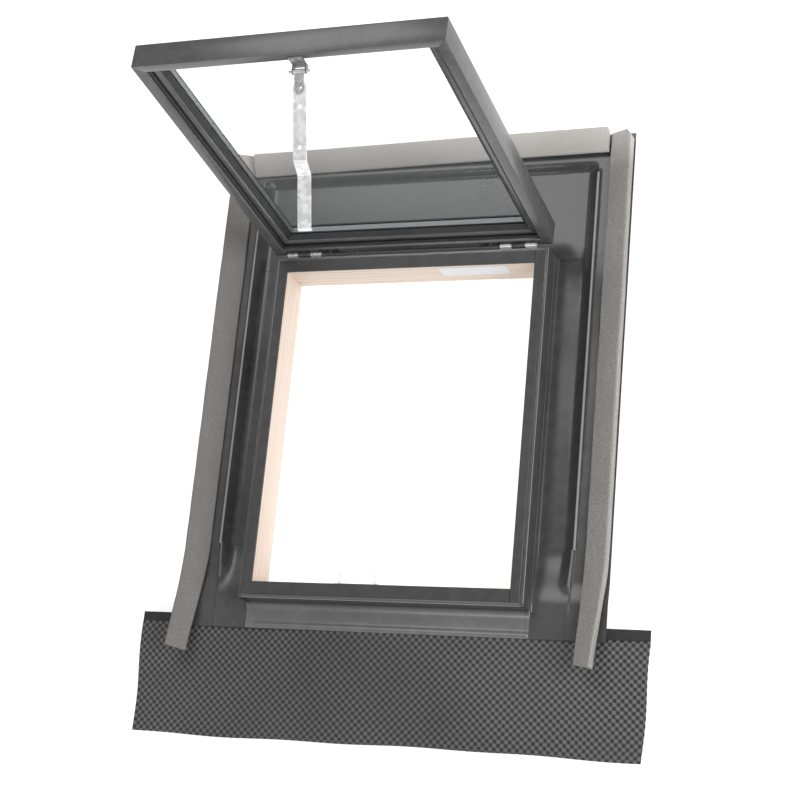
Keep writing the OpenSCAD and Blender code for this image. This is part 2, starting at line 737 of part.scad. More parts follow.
module stay_bar() {
  color(zinc) stay_hung() difference() {
    intersection() {
      mirror([0, 1, 0]) along_x(bent_sheet(stay_path, bar_t), -stay_w / 2, stay_w / 2);
      union() {
        translate([0, -rivet_in, -far / 2]) cylinder(h = far, r = stay_w / 2);
        translate([-stay_w, -stay_l - 1, -far / 2]) cube([2 * stay_w, stay_l + 1 - rivet_in, far]);
      }
    }
    for (y = holes_in) translate([0, -y, -far / 2]) cylinder(h = far, r = hole_r);
    translate([0, -rivet_in, -far / 2]) cylinder(h = far, r = screw_r + fit);
    translate([-stay_w / 2, -notch_in, -far / 2]) cylinder(h = far, r = 2);
  }
}

frame_stile_left();
frame_stile_right();
frame_head();
frame_sill();
frame_screws();
frame_seal();
blank_plate();
catch_plate();
catch_pegs();
catch_screws();
flashing_head();
flashing_side_left();
flashing_side_right();
flashing_corner_left();
flashing_corner_right();
flashing_sill();
apron();
apron_hem();
foam_left();
foam_right();
foam_top();
hinge_frame_leaves();
hinge_frame_screws();
hinge_pins();
hinge_sash_leaves();
hinge_sash_screws();
sash_rail_head();
sash_rail_foot();
sash_stile_left();
sash_stile_right();
corner_keys();
sash_seal();
glazing_gasket_inner();
glazing_gasket_outer();
pane_inner();
pane_outer();
glazing_spacer();
setting_blocks();
stay_bracket();
bracket_screws();
stay_pin();
stay_leaf();
stay_rivet();
stay_bar();
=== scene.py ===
# %% [markdown]
# # A top-hung roof skylight
#
# A small roof window stands open: a pine lining box, a bent metal flashing round it, foam strips
# that press against the tiles, an embossed apron below, and a glazed sash on two hinges. The
# hard parts arrive from the CAD model with their real sizes. What Blender adds is what CAD is
# bad at: soft folds in sheet metal, foam, an embossed mat, eased edges, and finishes.

# %% Open the frame
import bpy, bmesh, json, math
import numpy as np
from mathutils import Vector, Matrix, Euler, noise

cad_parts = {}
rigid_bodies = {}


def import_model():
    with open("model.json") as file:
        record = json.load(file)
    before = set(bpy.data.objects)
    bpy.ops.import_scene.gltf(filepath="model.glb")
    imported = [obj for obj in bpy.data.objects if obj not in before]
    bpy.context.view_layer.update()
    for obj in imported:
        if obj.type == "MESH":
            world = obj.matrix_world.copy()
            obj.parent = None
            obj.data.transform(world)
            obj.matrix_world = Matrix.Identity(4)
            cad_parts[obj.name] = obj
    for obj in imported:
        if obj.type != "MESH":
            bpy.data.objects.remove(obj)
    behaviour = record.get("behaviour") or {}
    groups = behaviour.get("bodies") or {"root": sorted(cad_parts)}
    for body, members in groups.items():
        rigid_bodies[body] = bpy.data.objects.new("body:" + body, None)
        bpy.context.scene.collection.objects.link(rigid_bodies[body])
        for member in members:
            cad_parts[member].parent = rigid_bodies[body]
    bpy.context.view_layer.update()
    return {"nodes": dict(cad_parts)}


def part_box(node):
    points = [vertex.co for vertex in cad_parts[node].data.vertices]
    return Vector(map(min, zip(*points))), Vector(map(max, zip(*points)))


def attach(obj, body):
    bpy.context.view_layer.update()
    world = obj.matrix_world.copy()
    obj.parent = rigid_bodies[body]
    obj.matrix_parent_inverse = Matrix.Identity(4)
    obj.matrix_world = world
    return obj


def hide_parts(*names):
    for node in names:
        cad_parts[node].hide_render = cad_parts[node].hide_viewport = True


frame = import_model()
MM = 0.001

# %% [markdown]
# ## The camera
#
# The view is from the right and from below the sash, looking up the slope, through a long lens.
# A long lens keeps parallel edges nearly parallel, which is how such a window is usually shown.

# %% Camera
lens_data = bpy.data.cameras.new("lens")
lens_data.sensor_width = 36
lens_data.lens = 90.11
lens_data.shift_x, lens_data.shift_y = 0.2323, -0.0702
camera = bpy.data.objects.new("camera", lens_data)
camera.location = (1.0338, -0.8657, 2.8496)
camera.rotation_euler = Euler([math.radians(a) for a in (21.023, 23.529, 7.444)])
lens_data.clip_start, lens_data.clip_end = 0.05, 60
bpy.context.scene.collection.objects.link(camera)
bpy.context.scene.camera = camera

# %% [markdown]
# ## Floor and light
#
# Dark satin paint shows its shape by what it reflects, so the room is dim and the light comes
# from large soft panels: a strong one on the right, one in front and a weaker one above. What
# faces a panel turns pale and what faces the dim room stays dark, which draws every fold.

# %% Floor and light
def area_light(name, place, target, size, watts):
    data = bpy.data.lights.new(name, "AREA")
    data.shape, data.size, data.energy = "SQUARE", size, watts
    lamp = bpy.data.objects.new(name, data)
    lamp.location = place
    lamp.rotation_euler = (Vector(target) - Vector(place)).to_track_quat("-Z", "Y").to_euler()
    bpy.context.scene.collection.objects.link(lamp)


area_light("panel_right", (2.6, -0.4, 1.7), (0, 0, 0.1), 1.8, 74)
area_light("panel_front", (-0.3, -2.6, 2.2), (0, 0, 0.1), 1.6, 24)
area_light("panel_top", (-0.6, 1.6, 2.6), (0, 0.1, 0.1), 1.4, 20)
room = bpy.data.worlds.new("pale_room")
room.use_nodes = True
room.node_tree.nodes["Background"].inputs["Color"].default_value = (1, 1, 1, 1)
room.node_tree.nodes["Background"].inputs["Strength"].default_value = 0.5
bpy.context.scene.world = room
bpy.context.scene.view_settings.view_transform = "Standard"

# %% [markdown]
# ## Shader maths written as Python
#
# A material is a graph of nodes, and a formula in it soon takes ten of them. A small class wraps
# a socket so that `a * b + 1` adds the Math nodes itself. Any other node comes from one method
# that takes the node's type, its settings and the values or links of its sockets.

# %% Sockets that can be added and multiplied
class Value:
    def __init__(self, paint, socket):
        self.paint, self.socket = paint, socket

    def _math(self, operation, *others, swap=False):
        terms = [self, *others][::-1] if swap else [self, *others]
        return self.paint.node("ShaderNodeMath", {"operation": operation}, *terms)

    def __add__(self, o): return self._math("ADD", o)
    def __radd__(self, o): return self._math("ADD", o)
    def __sub__(self, o): return self._math("SUBTRACT", o)
    def __rsub__(self, o): return self._math("SUBTRACT", o, swap=True)
    def __mul__(self, o): return self._math("MULTIPLY", o)
    def __rmul__(self, o): return self._math("MULTIPLY", o)
    def __truediv__(self, o): return self._math("DIVIDE", o)
    def __pow__(self, o): return self._math("POWER", o)
    def sin(self): return self._math("SINE")
    def abs(self): return self._math("ABSOLUTE")
    def clamp(self): return self.paint.node("ShaderNodeClamp", {}, self)

    def steps(self, *stops):
        """A colour ramp: stops are (position, grey or colour)."""
        return self.paint.node("ShaderNodeValToRGB", {"stops": stops}, self)


class Paint:
    """One material: its nodes, its Principled shader and its Object coordinates."""

    def __init__(self, name):
        self.material = bpy.data.materials.new(name)
        self.material.use_nodes = True
        self.tree = self.material.node_tree
        self.shader = self.tree.nodes["Principled BSDF"]

    def node(self, kind, settings, *inputs, out=0, **named):
        made = self.tree.nodes.new(kind)
        for key, value in settings.items():
            if key == "stops":
                ramp = made.color_ramp
                while len(ramp.elements) < len(value):
                    ramp.elements.new(0.5)
                for element, (position, colour) in zip(ramp.elements, value):
                    element.position = position
                    grey = isinstance(colour, (int, float))
                    element.color = (colour,) * 3 + (1,) if grey else (*colour, 1)
            else:
                setattr(made, key, value)
        for key, value in [*enumerate(inputs), *((k.replace("_", " "), v) for k, v in named.items())]:
            self.feed(made.inputs[key], value)
        return Value(self, made.outputs[out])

    def feed(self, socket, value):
        if isinstance(value, Value):
            self.tree.links.new(value.socket, socket)
        else:
            socket.default_value = value

    def set(self, **sockets):
        for key, value in sockets.items():
            self.feed(self.shader.inputs[key.replace("_", " ")], value)
        return self

    def place(self):
        return self.node("ShaderNodeTexCoord", {}, out="Object")

    def axes(self):
        """X, Y and Z of the Object coordinates, as three values."""
        split = self.tree.nodes.new("ShaderNodeSeparateXYZ")
        self.tree.links.new(self.place().socket, split.inputs[0])
        return [Value(self, s) for s in split.outputs]

    def stretched(self, scale):
        return self.node("ShaderNodeMapping", {}, self.place(), Scale=scale)

    def noise(self, scale, detail, at=None, distortion=0.0):
        return self.node("ShaderNodeTexNoise", {}, Vector=at or self.place(), Scale=scale,
                         Detail=detail, Distortion=distortion)

    def cells(self, scale, out="Distance"):
        return self.node("ShaderNodeTexVoronoi", {}, Vector=self.place(), Scale=scale, out=out)

    def mix(self, factor, a, b):
        """Mixes two colours."""
        made = self.tree.nodes.new("ShaderNodeMix")
        made.data_type = "RGBA"
        for key, value in ((0, factor), (6, a), (7, b)):
            if isinstance(value, tuple) and len(value) == 3:
                value = (*value, 1)
            self.feed(made.inputs[key], value)
        return Value(self, made.outputs[2])

    def bump(self, height, distance, strength=1.0, under=None):
        more = {"Normal": under} if under else {}
        return self.node("ShaderNodeBump", {}, Strength=strength, Distance=distance,
                         Height=height, **more)


def linear(*rgb):
    """Screen colour values from 0 to 255 as the linear numbers a shader wants."""
    return tuple(((c / 255 + 0.055) / 1.055) ** 2.4 if c > 10 else c / 255 / 12.92 for c in rgb)


# %% [markdown]
# ## Paint, timber and rubber
#
# The flashing is thin sheet with a satin coat. It is never quite flat: faint dents bend its
# reflections, and dust makes it a little lighter in places. Both come from noise, one as bump
# and one as colour. The sash is the same coat on a stiffer profile.

# The bend over the rim and the crest of each rib are painted brighter, a painted highlight for the
# line of light along these edges. The rim is found by its height. The crest needs its place up the
# slope as well, because the corner and the sill lie flat at nearly the same height as the rib.

# %% Sheet and profile coat
RIM_HEIGHT, RIB_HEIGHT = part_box("flashing_side_right")[1].z, 25 * MM
CREST_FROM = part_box("frame_stile_right")[0].y + 17.5 * MM
CREST_FADE = 20 * MM
WALL_FROM, WALL_FADE = 28 * MM, 9 * MM


def satin_coat(name, grey, rough, dents, painted_edge_highlight=False, wall=None):
    """A satin coat. A wall tone is painted shade: it darkens what stands up above the sill."""
    p = Paint(name)
    dust = p.noise(9, 4) * 0.6 + p.noise(70, 2) * 0.4
    low, high = linear(grey - 7, grey - 7, grey - 6), linear(grey + 9, grey + 9, grey + 10)
    colour = p.mix(dust.steps((0.35, 0.0), (0.68, 1.0)), low, high)
    _, y, z = p.axes()
    if wall is not None:
        # Painted shade: above WALL_FROM the sill's wall fades to the darker wall tone.
        upright = ((z - WALL_FROM) / WALL_FADE).clamp()
        colour = p.mix(upright, colour, linear(wall, wall, wall + 1))
    # Painted highlight: the hem over the rim and the rib crests are mixed towards a pale grey.
    if painted_edge_highlight:
        near_rim = (1 - (z - RIM_HEIGHT + 0.6 * MM).abs() / (0.6 * MM)).clamp()
        on_rib = ((y - CREST_FROM) / CREST_FADE).clamp()
        near_crest = (1 - (z - RIB_HEIGHT).abs() / (1.1 * MM)).clamp() * on_rib
        colour = p.mix((near_rim * 0.9 + near_crest * 0.75).clamp(), colour, linear(158, 158, 159))
    grain = p.noise(1500, 2)
    dent = p.noise(7, 2)
    return p.set(Base_Color=colour, Roughness=rough + (dust - 0.5) * 0.16, Metallic=0.0,
                 Normal=p.bump(grain, 0.00002, 0.5, under=p.bump(dent, dents))).material


sheet_coat = satin_coat("sheet_coat", 66, 0.22, 0.0005, painted_edge_highlight=True)
# The sill sheet is the same coat as the other sheets, painted lighter as a lit copy (painted light), with
# painted shade on its wall.
sill_coat_painted_light = satin_coat("sill_coat_painted_light", 102, 0.22, 0.0003, painted_edge_highlight=True, wall=50)
profile_coat = satin_coat("profile_coat", 78, 0.25, 0.0001)

# %% [markdown]
# Pine is pale, with growth rings cut lengthwise: long wavering lines, closer together here and
# there. Rings are a sine of the distance across the board, bent by noise that is stretched along
# it. A second, much finer stretched noise is the fibre.

# %% Pine
def pine(name, along):
    p = Paint(name)
    fine = (900, 14, 900) if along == "y" else (14, 900, 900)
    slow = (26, 1.6, 26) if along == "y" else (1.6, 26, 26)
    x, y, z = p.axes()
    across = (x if along == "y" else y) * 1.3 + z
    rings = (across * 520 + p.noise(1, 3, at=p.stretched(slow)) * 26).sin() * 0.5 + 0.5
    fibre = p.noise(1, 3, at=p.stretched(fine))
    tone = (rings ** 3) * 0.45 + fibre * 0.3 + p.noise(1, 2, at=p.stretched(slow)) * 0.35
    colour = p.mix(tone.steps((0.2, 0.0), (0.95, 0.85)), linear(210, 197, 186), linear(194, 173, 156))
    return p.set(Base_Color=colour, Roughness=0.5 + fibre * 0.15,
                 Normal=p.bump(fibre + rings * 0.4, 0.00012, 0.5)).material


pine_long, pine_cross = pine("pine_long", "y"), pine("pine_cross", "x")

# %% Rubber, foam and glass
def rubber(name, grey, rough):
    p = Paint(name)
    bloom = p.noise(45, 4)
    fresh, worn = linear(*[grey] * 3), linear(*[grey + 12] * 3)
    colour = p.mix(bloom.steps((0.4, 0.0), (0.75, 1.0)), fresh, worn)
    return p.set(Base_Color=colour, Roughness=rough, Normal=p.bump(p.noise(700, 2), 0.00004)).material


black_rubber = rubber("black_rubber", 26, 0.55)
rim_rubber = rubber("rim_rubber", 52, 0.5)


def open_foam():
    p = Paint("open_foam")
    pores = p.cells(520)
    crumbs = p.cells(1300)
    colour = p.mix(pores.steps((0.05, 0.0), (0.75, 1.0)), linear(122, 118, 114), linear(160, 156, 152))
    colour = p.mix(p.noise(14, 3).steps((0.35, 0.0), (0.7, 0.45)), colour, linear(134, 130, 127))
    # Painted shade: the foam darkens towards the left (-x), the side away from the right-hand light.
    x = p.axes()[0]
    colour = p.mix((0.42 - x * 1.1).clamp() * 0.75, colour, linear(92, 89, 88))
    # Painted light: the foam at the head end, above y = 0.42 m, is painted paler.
    colour = p.mix(((p.axes()[1] - 0.42) * 12).clamp() * 0.9, colour, linear(208, 204, 200))
    holes = p.bump(pores, 0.0007, 0.8)
    return p.set(Base_Color=colour, Roughness=0.95,
                 Normal=p.bump(crumbs, 0.0003, 0.7, under=holes)).material


foam = open_foam()


def clear_pane():
    p = Paint("clear_pane")
    p.material.surface_render_method = "BLENDED"
    smear = p.noise(5, 4, distortion=0.6)
    faint = 0.02 + smear * 0.02
    return p.set(Base_Color=(0.25, 0.27, 0.27, 1), Roughness=faint, Alpha=faint).material


pane_glass = clear_pane()

# %% [markdown]
# Zinc-coated steel has a spangle: patches of crystal, each reflecting at its own angle. Cells of
# random brightness, large on the stay and too small to see on a pin, give that look.

# %% Zinc and plain metal
def zinc(name, tone, rough, spangle, spread=26):
    p = Paint(name)
    patch = p.cells(spangle, out="Color")
    split = p.tree.nodes.new("ShaderNodeSeparateColor")
    p.tree.links.new(patch.socket, split.inputs[0])
    patch = Value(p, split.outputs[0])
    dim, bright = tone - spread, tone + 12
    colour = p.mix(patch, linear(dim, dim, dim + 2), linear(bright, bright, bright))
    streak = p.noise(1, 3, at=p.stretched((900, 900, 60)))
    return p.set(Base_Color=colour, Metallic=0.9, Roughness=rough + patch * 0.1 + streak * 0.1,
                 Normal=p.bump(patch + p.noise(300, 3), 0.00002)).material


bright_zinc = zinc("bright_zinc", 205, 0.24, 420)
dull_zinc = zinc("dull_zinc", 150, 0.42, 300)
stay_zinc = zinc("stay_zinc", 243, 0.34, 170, 12)
dark_zinc = zinc("dark_zinc", 92, 0.45, 300)


def plain(name, colour, rough, metal=0.0):
    p = Paint(name)
    cloud = p.noise(30, 3)
    tone = p.mix(cloud, linear(*colour), linear(*(min(255, c + 10) for c in colour)))
    return p.set(Base_Color=tone, Roughness=rough + cloud * 0.1, Metallic=metal).material


plate_metal = plain("plate_metal", (200, 202, 206), 0.35)
peg_metal = plain("peg_metal", (240, 240, 240), 0.4)
spacer_metal = plain("spacer_metal", (120, 122, 124), 0.4, 0.6)
print("finishes:", len(bpy.data.materials))

# %% [markdown]
# ## Making a piece
#
# Each new piece is a mesh with its place in its points, rides on a CAD body, stands for a CAD
# node and names its material slot. One helper does all of that, and smooths faces that meet at
# a small angle.

# %% Helpers for pieces
def finish_piece(mesh, name, material, body, nodes=(), smooth=38):
    mesh.materials.clear()
    mesh.materials.append(material)
    piece = bpy.data.objects.new(name, mesh)
    bpy.context.scene.collection.objects.link(piece)
    mesh.shade_smooth()
    mesh.set_sharp_from_angle(angle=math.radians(smooth))
    if nodes:
        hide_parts(*nodes)
    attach(piece, body)
    print(f"{name}: {len(mesh.polygons)} faces on {body}")
    return piece


def applied(mesh, *modifiers):
    """The mesh after modifiers, each given as (type, settings)."""
    holder = bpy.data.objects.new("holder", mesh)
    bpy.context.scene.collection.objects.link(holder)
    for kind, settings in modifiers:
        made = holder.modifiers.new(kind.lower(), kind)
        for key, value in settings.items():
            setattr(made, key, value)
    view = bpy.context.evaluated_depsgraph_get()
    result = bpy.data.meshes.new_from_object(holder.evaluated_get(view))
    bpy.data.objects.remove(holder)
    return result


def tidy(mesh):
    """Merges points that fall together and turns all faces outward."""
    work = bmesh.new()
    work.from_mesh(mesh)
    bmesh.ops.remove_doubles(work, verts=work.verts, dist=1e-6)
    bmesh.ops.recalc_face_normals(work, faces=work.faces)
    work.to_mesh(mesh)
    work.free()
    return mesh


def rows_mesh(rows, closed=False):
    """A skin through rows of points: rows run along the piece, points run across it."""
    n = len(rows[0])
    points = [p for row in rows for p in row]
    wrap = n if closed else n - 1
    faces = [(r * n + i, r * n + (i + 1) % n, (r + 1) * n + (i + 1) % n, (r + 1) * n + i)
             for r in range(len(rows) - 1) for i in range(wrap)]
    if closed:
        faces += [tuple(range(n))[::-1], tuple((len(rows) - 1) * n + i for i in range(n))]
    mesh = bpy.data.meshes.new("mesh")
    mesh.from_pydata([tuple(p) for p in points], [], faces)
    return mesh


def facing_up(rows):
    """A skin through rows of points, turned so that most of it faces up."""
    mesh = rows_mesh(rows)
    mesh.update()
    if sum(f.normal.z * f.area for f in mesh.polygons) < 0:
        mesh.flip_normals()
    return mesh


def joined(*row_sets):
    """Skins through several sets of rows, as one mesh."""
    work = bmesh.new()
    for rows in row_sets:
        work.from_mesh(facing_up(rows))
    whole = bpy.data.meshes.new("whole")
    work.to_mesh(whole)
    work.free()
    return whole


def ease(t):
    t = min(1.0, max(0.0, t))
    return t * t * (3 - 2 * t)


def arc(cx, cz, r, start, end, steps):
    turns = [math.radians(start + (end - start) * k / steps) for k in range(steps + 1)]
    return [(cx + r * math.cos(a), cz + r * math.sin(a)) for a in turns]


def mirrored(mesh, side):
    if side < 0:
        mesh.transform(Matrix.Diagonal((-1, 1, 1, 1)))
        mesh.flip_normals()
    return mesh


# %% [markdown]
# ## The flashing
#
# On the real window these are thin sheets, pressed and folded: a hem over the box's rim, an
# upstand, a flat gutter, a rib that keeps rain in it, and a flange under the foam. A sheet like
# this is one section that changes as it runs along the box: the gutter climbs, the rib dies
# out. So the surface is a skin through rows of points, each row the section at one place, and a
# Solidify modifier gives it the thickness of the sheet.

# %% Sizes that the flashing is built from
rim_low, rim_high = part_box("frame_stile_right")
side_low, side_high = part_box("flashing_side_right")
lower_low, lower_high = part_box("flashing_corner_right")
sill_low, sill_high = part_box("flashing_sill")
head_low, head_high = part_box("flashing_head")
foam_low, foam_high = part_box("foam_right")
SHEET = 0.8 * MM
BOX_X, BOX_Y = rim_high.x, rim_high.y
LIP, GUTTER, RIB = side_high.z, side_low.z + SHEET, RIB_HEIGHT
FLANGE = foam_low.z - 0.3 * MM
SILL = sill_low.z + SHEET
RIB_X = BOX_X + 60 * MM
EDGE_X = side_high.x
HEAD_Y, JOINT_Y, SILL_Y = side_high.y, side_low.y, sill_low.y
HEM = 5 * MM
SIDES = ((-1, "left"), (1, "right"))
levels = [round(v, 4) for v in (GUTTER, FLANGE, RIB, SILL, LIP)]
print("rim", round(BOX_X, 4), round(BOX_Y, 4), "levels", levels)


# %% The side section
def upstand_points(wall, floor, r, lip=LIP):
    """From the hem over the rim down to the floor, as (out, up)."""
    bend = 1.2 * MM
    return ([(wall - HEM, lip - 0.2 * MM), (wall - HEM + 0.6 * MM, lip)]
            + arc(wall + SHEET - bend, lip - bend, bend, 90, 0, 5)
            + [(wall + SHEET, z) for z in np.linspace(lip - 6 * MM, floor + r + 4 * MM, 5)]
            + arc(wall + SHEET + r, floor + r, r, 180, 270, 6))


def section(floor, rib, flange, shift=0.0, start=None):
    """The gutter, the rib and the flange at one place along the side, as (x, z)."""
    top = max(rib, flange + 0.05 * MM)
    drop = max(0.0, min(1.0, (top - flange) / (5 * MM)))
    crest = RIB_X + shift
    pts = upstand_points(BOX_X, floor, 4 * MM) if start is None else [(start, floor)]
    first = pts[-1][0]
    pts += [(x, floor) for x in np.linspace(first, crest - 19 * MM, 8)[1:]]
    for k in range(1, 9):
        t = k / 8
        climb = (0.25 * t * t + 0.75 * t ** 1.6) * 0.93
        pts.append((crest - 19 * MM + 17 * MM * t, floor + (top - floor) * climb))
    pts += [(crest - 1.2 * MM, floor + (top - floor) * 0.985), (crest, top),
            (crest + 1.3 * MM, top - 0.25 * MM * drop)]
    for k in range(1, 6):
        t = k / 5
        fall = (top - flange) * ease(t) * 0.98
        pts.append((crest + 1.3 * MM + 3.2 * MM * t, top - fall - 0.02 * (top - flange)))
    pts += [(x, flange) for x in np.linspace(crest + 6 * MM, EDGE_X, 6)]
    return pts


def thickened(mesh, even=False):
    return applied(mesh, ("SOLIDIFY", {"thickness": SHEET, "offset": -1.0, "use_even_offset": even}))


def sill_piece(rows, name, nodes, side=1):
    mesh = thickened(mirrored(facing_up(rows), side), even=True)
    finish_piece(mesh, name, sill_coat_painted_light, "base", nodes, smooth=50)


def flashing_piece(mesh, name, node, side=1):
    """One sheet of the flashing, from its joined skins."""
    finish_piece(thickened(mirrored(mesh, side)), name, sheet_coat, "base", [node], 50)


# %% Side sheets
RIB_END, PAD = HEAD_Y - 66 * MM, HEAD_Y - 45 * MM


def side_rows():
    near = np.linspace(JOINT_Y, BOX_Y + 0.7 * SHEET, 24)
    return [[(x, y, z) for x, z in section(GUTTER, RIB, FLANGE)] for y in near]


def side_head_rows():
    rows = []
    ys = [*np.linspace(BOX_Y, RIB_END, 9), *np.linspace(RIB_END, PAD + 4 * MM, 12)[1:],
          HEAD_Y - 20 * MM, HEAD_Y]
    for y in ys:
        fade = ease((y - RIB_END) / (9 * MM))
        climb = ease((y - (PAD - 13 * MM)) / (14 * MM))
        floor = GUTTER + (FLANGE - GUTTER) * climb
        crest = RIB + (max(floor, FLANGE) - RIB) * fade
        rows.append([(x, y, z) for x, z in section(floor, crest, FLANGE, start=BOX_X + 10 * MM)])
    return rows


for side, word in SIDES:
    flashing_piece(joined(side_rows(), side_head_rows()), f"side_sheet_{word}",
                   f"flashing_side_{word}", side)

# %% [markdown]
# The lower corner sheet tucks under the side sheet. Its gutter climbs to the sill in a soft
# curve and its rib sinks into that climb, so the fold between them runs to a point.

# %% Lower corner sheets
CLIMB_END = -BOX_Y + 12 * MM
FOLD, FOLD_X = 0.9 * MM, RIB_X - 5.5 * MM


def corner_rows():
    rows = []
    for y in [*np.linspace(JOINT_Y, -BOX_Y, 40), -BOX_Y - 0.7 * SHEET]:
        t = (JOINT_Y - y) / (JOINT_Y - CLIMB_END)
        k = ease(t * 0.98) ** 1.15
        floor = GUTTER - 0.4 * MM + (SILL - GUTTER + 0.4 * MM) * k
        flange = FLANGE - 0.3 * MM + (SILL - FLANGE) * ease((t - 0.55) / 0.45)
        taper = min(1.0, max(0.0, (t - 0.66) / 0.2))
        crest = RIB - 0.6 * MM + (max(floor, flange) + FOLD - RIB + 0.6 * MM) * taper
        inward = -2.5 * MM - 3 * MM * ease(t * 1.3)
        rows.append([(x, y, z) for x, z in section(floor, crest, flange, shift=inward)])
    return rows


def corner_apron_rows():
    def height(x):
        fold = FOLD * math.exp(-((x - FOLD_X) / (1.3 * MM)) ** 2)
        return SILL - 0.3 * MM * ease((x - BOX_X) / 0.1) + fold

    xs = sorted([*np.linspace(BOX_X + SHEET, EDGE_X, 14),
                 *(FOLD_X + k * 0.8 * MM for k in range(-4, 5))])
    return [[(x, y, height(x)) for x in xs] for y in np.linspace(-BOX_Y, SILL_Y, 8)]


for side, word in SIDES:
    whole = joined(corner_rows(), corner_apron_rows())
    flashing_piece(whole, f"corner_sheet_{word}", f"flashing_corner_{word}", side)

# %% Sill and head sheets
UNDER = LIP - 0.12 * MM
sill_section = upstand_points(BOX_Y, SILL, 14 * MM, UNDER)
sill_section += [(v, SILL) for v in np.linspace(sill_section[-1][0], -SILL_Y - 9 * MM, 4)[1:]]
folded_edge = ((8.2, 0.75), (1.2, 0.8), (0.2, 0.3), (0.0, -0.8))
sill_section += [(-SILL_Y - back * MM, SILL + up * MM) for back, up in folded_edge]
sill_xs = np.linspace(-BOX_X - SHEET, BOX_X + SHEET, 24)
sill_piece([[(x, -v, z) for v, z in sill_section] for x in sill_xs], "sill_sheet", ["flashing_sill"])

# Where the sill sheet laps the corner sheet its edge is folded back, as a narrow curved band.
for side, word in SIDES:
    proud = [(v + 0.5 * MM, z + 0.7 * MM) for v, z in sill_section[8:-2]]
    band = np.linspace(BOX_X - 4 * MM, BOX_X + 0.5 * MM, 4)
    sill_piece([[(x, -v, z) for v, z in proud] for x in band], f"lap_fold_{word}", [], side)

head_section = upstand_points(BOX_Y, GUTTER, 5 * MM, UNDER)
head_section += [(y, GUTTER) for y in np.linspace(head_section[-1][0], PAD - 16 * MM, 8)[1:]]
head_section += [(PAD - 14 * MM + 15 * MM * k / 7, GUTTER + (FLANGE - GUTTER) * ease(k / 7))
                 for k in range(8)]
head_section += [(y, FLANGE) for y in np.linspace(PAD + 3 * MM, HEAD_Y, 4)]
EAR = BOX_X + 10 * MM
head_xs = [-EAR] + list(np.linspace(-BOX_X, BOX_X, 24)) + [EAR]
floor_from = len(upstand_points(BOX_Y, GUTTER, 5 * MM)) - 1
ear_section = [(BOX_Y - 1 * MM, GUTTER)] + head_section[floor_from:]
stretches = ((head_xs[1:-1], head_section), (head_xs[:2], ear_section), (head_xs[-2:], ear_section))
head_mesh = joined(*([[(x, y, z) for y, z in pts] for x in xs] for xs, pts in stretches))
flashing_piece(head_mesh, "head_sheet", "flashing_head")

# %% [markdown]
# ## Foam strips
#
# Each strip is soft foam cut to a wedge: thin at the window, thick outside, with a pale film
# along its thin edge. Below the box the side strips spring up, because nothing holds them down.
# The wedge is a closed skin of rounded sections, and noise moves its points by a fraction of a
# millimetre, as foam is never cut quite straight. The loose tails also lean a little to one
# side and end on a slant. Nothing here is simulated: the shapes are formulas.

# %% Foam strips
def wedge(width, thick, nose, r=2.2 * MM):
    """The rounded section of a strip: (across, up), from the thin edge at 0."""
    pts = [(0.5 * MM, 0.0), (width * 0.5, 0.0)]
    pts += arc(width - r, r, r, 270, 360, 4) + arc(width - r, thick - r, r, 0, 90, 4)
    pts += [(width * k, nose + (thick - nose) * (k + 0.06)) for k in (0.84, 0.66, 0.48, 0.3)]
    pts += [(2.5 * MM, nose + 0.6 * MM), (0.6 * MM, nose), (0.0, nose * 0.5)]
    return pts


def roughen(mesh, size, amount):
    for v in mesh.vertices:
        n = noise.noise_vector(v.co * size)
        v.co += Vector((n.x, n.y * 0.4, n.z)) * amount
    return mesh


WIDTH, THICK, NOSE = foam_high.x - foam_low.x, 20 * MM, 4 * MM
TAIL_Y, TOP_Y = foam_low.y, foam_high.y
LIFT = foam_high.z - foam_low.z - THICK


def lift_at(y):
    return 0.0 if y > JOINT_Y else LIFT * ((JOINT_Y - y) / (JOINT_Y - TAIL_Y)) ** 1.6


def strip_mesh(rows):
    mesh = tidy(rows_mesh(rows, closed=True))
    return roughen(mesh, 26, 0.5 * MM)


def side_strip():
    rows = []
    for y in np.linspace(TAIL_Y, TOP_Y, 150):
        tail = ease((JOINT_Y - y) / (JOINT_Y - TAIL_Y))
        out, slim = 4.0 * MM * tail, 1 - 0.2 * tail
        chamfer = max(0.0, (y - TOP_Y + 12 * MM)) * 0.9
        edge, base = WIDTH - chamfer, foam_low.z + 0.5 * MM + lift_at(y)
        rows.append([(foam_low.x + out + slim * min(u, edge), y, base + w * (0.97 if u > edge else 1))
                     for u, w in wedge(WIDTH - 2 * MM, THICK, NOSE)])
    return rows


for side, word in SIDES:
    strip = mirrored(strip_mesh(side_strip()), side)
    left_edge = min(v.co.x for v in strip.vertices)
    for v in strip.vertices:
        tail = ease((JOINT_Y - v.co.y) / (JOINT_Y - TAIL_Y))
        v.co.x -= 6 * MM * tail
        v.co.y -= (2 * MM + 0.2 * (v.co.x - left_edge)) * tail ** 3
        v.co.z += 4 * MM * tail ** 2
    piece = finish_piece(strip, f"foam_strip_{word}", foam, "base", [f"foam_{word}"], 60)

top_low, top_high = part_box("foam_top")
top_rows = []
for x in np.linspace(top_low.x + MM, top_high.x - MM, 110):
    along = (x - top_low.x) / (top_high.x - top_low.x)
    shift, rise = -MM + 5 * MM * along, 6 * MM * ease(along)
    top_rows.append([(x, top_low.y + shift + u, top_low.z + 0.5 * MM + w + rise)
                     for u, w in wedge(top_high.y - top_low.y, THICK, NOSE)])
piece = finish_piece(strip_mesh(top_rows), "foam_strip_top", foam, "base", ["foam_top"], 60)

